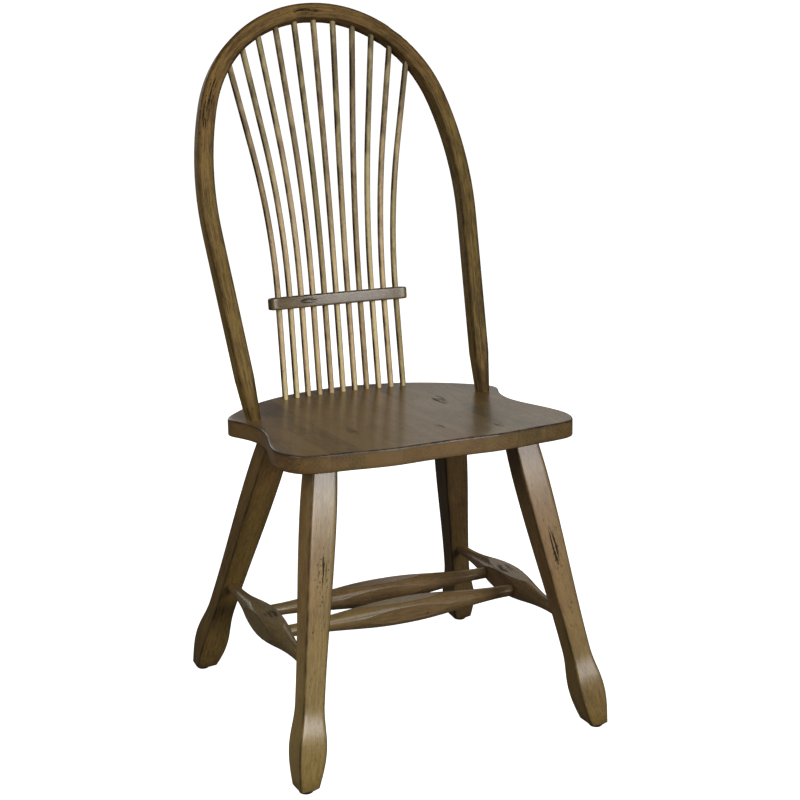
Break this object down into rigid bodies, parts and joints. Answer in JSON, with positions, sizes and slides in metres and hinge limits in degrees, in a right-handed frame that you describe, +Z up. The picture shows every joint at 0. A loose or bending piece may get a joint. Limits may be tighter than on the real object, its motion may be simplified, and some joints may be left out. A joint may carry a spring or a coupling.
{
  "type": "sheaf back side chair",
  "caption": "Wooden dining side chair with a bent bow back, a sheaf of spindles gathered by a band, a plank seat and splayed legs with facetted stretchers.",
  "frame": {"origin": "on the floor, under the middle of the whole chair's footprint", "axes": "+Z up, -Y towards the sitter's front edge of the seat, +X towards the right as seen from the front"},
  "size_m": [0.4986, 0.5475, 1.0439],
  "materials": {
    "frame_oak": "satin stain",
    "seat_oak": "satin stain",
    "glide_black": "matte",
    "steel": "bright"
  },
  "bodies": {
    "root": {"seat_board_1": "seat_oak", "seat_board_2": "seat_oak", "seat_board_3": "seat_oak", "seat_board_4": "seat_oak", "seat_board_5": "seat_oak", "seat_board_6": "seat_oak", "seat_board_7": "seat_oak", "seat_board_8": "seat_oak", "bow": "frame_oak", "band": "frame_oak", "spindle_1": "frame_oak", "spindle_2": "frame_oak", "spindle_3": "frame_oak", "spindle_4": "frame_oak", "spindle_5": "frame_oak", "spindle_6": "frame_oak", "spindle_7": "frame_oak", "spindle_8": "frame_oak", "spindle_9": "frame_oak", "spindle_10": "frame_oak", "spindle_11": "frame_oak", "leg_front_left": "frame_oak", "leg_front_right": "frame_oak", "leg_rear_left": "frame_oak", "leg_rear_right": "frame_oak", "stretcher_left": "frame_oak", "stretcher_right": "frame_oak", "stretcher_front": "frame_oak", "stretcher_rear": "frame_oak", "glide_front_left": "glide_black", "glide_front_right": "glide_black", "glide_rear_left": "glide_black", "glide_rear_right": "glide_black", "glide_nails": "steel", "bow_screws": "steel"}
  },
  "joints": []
}
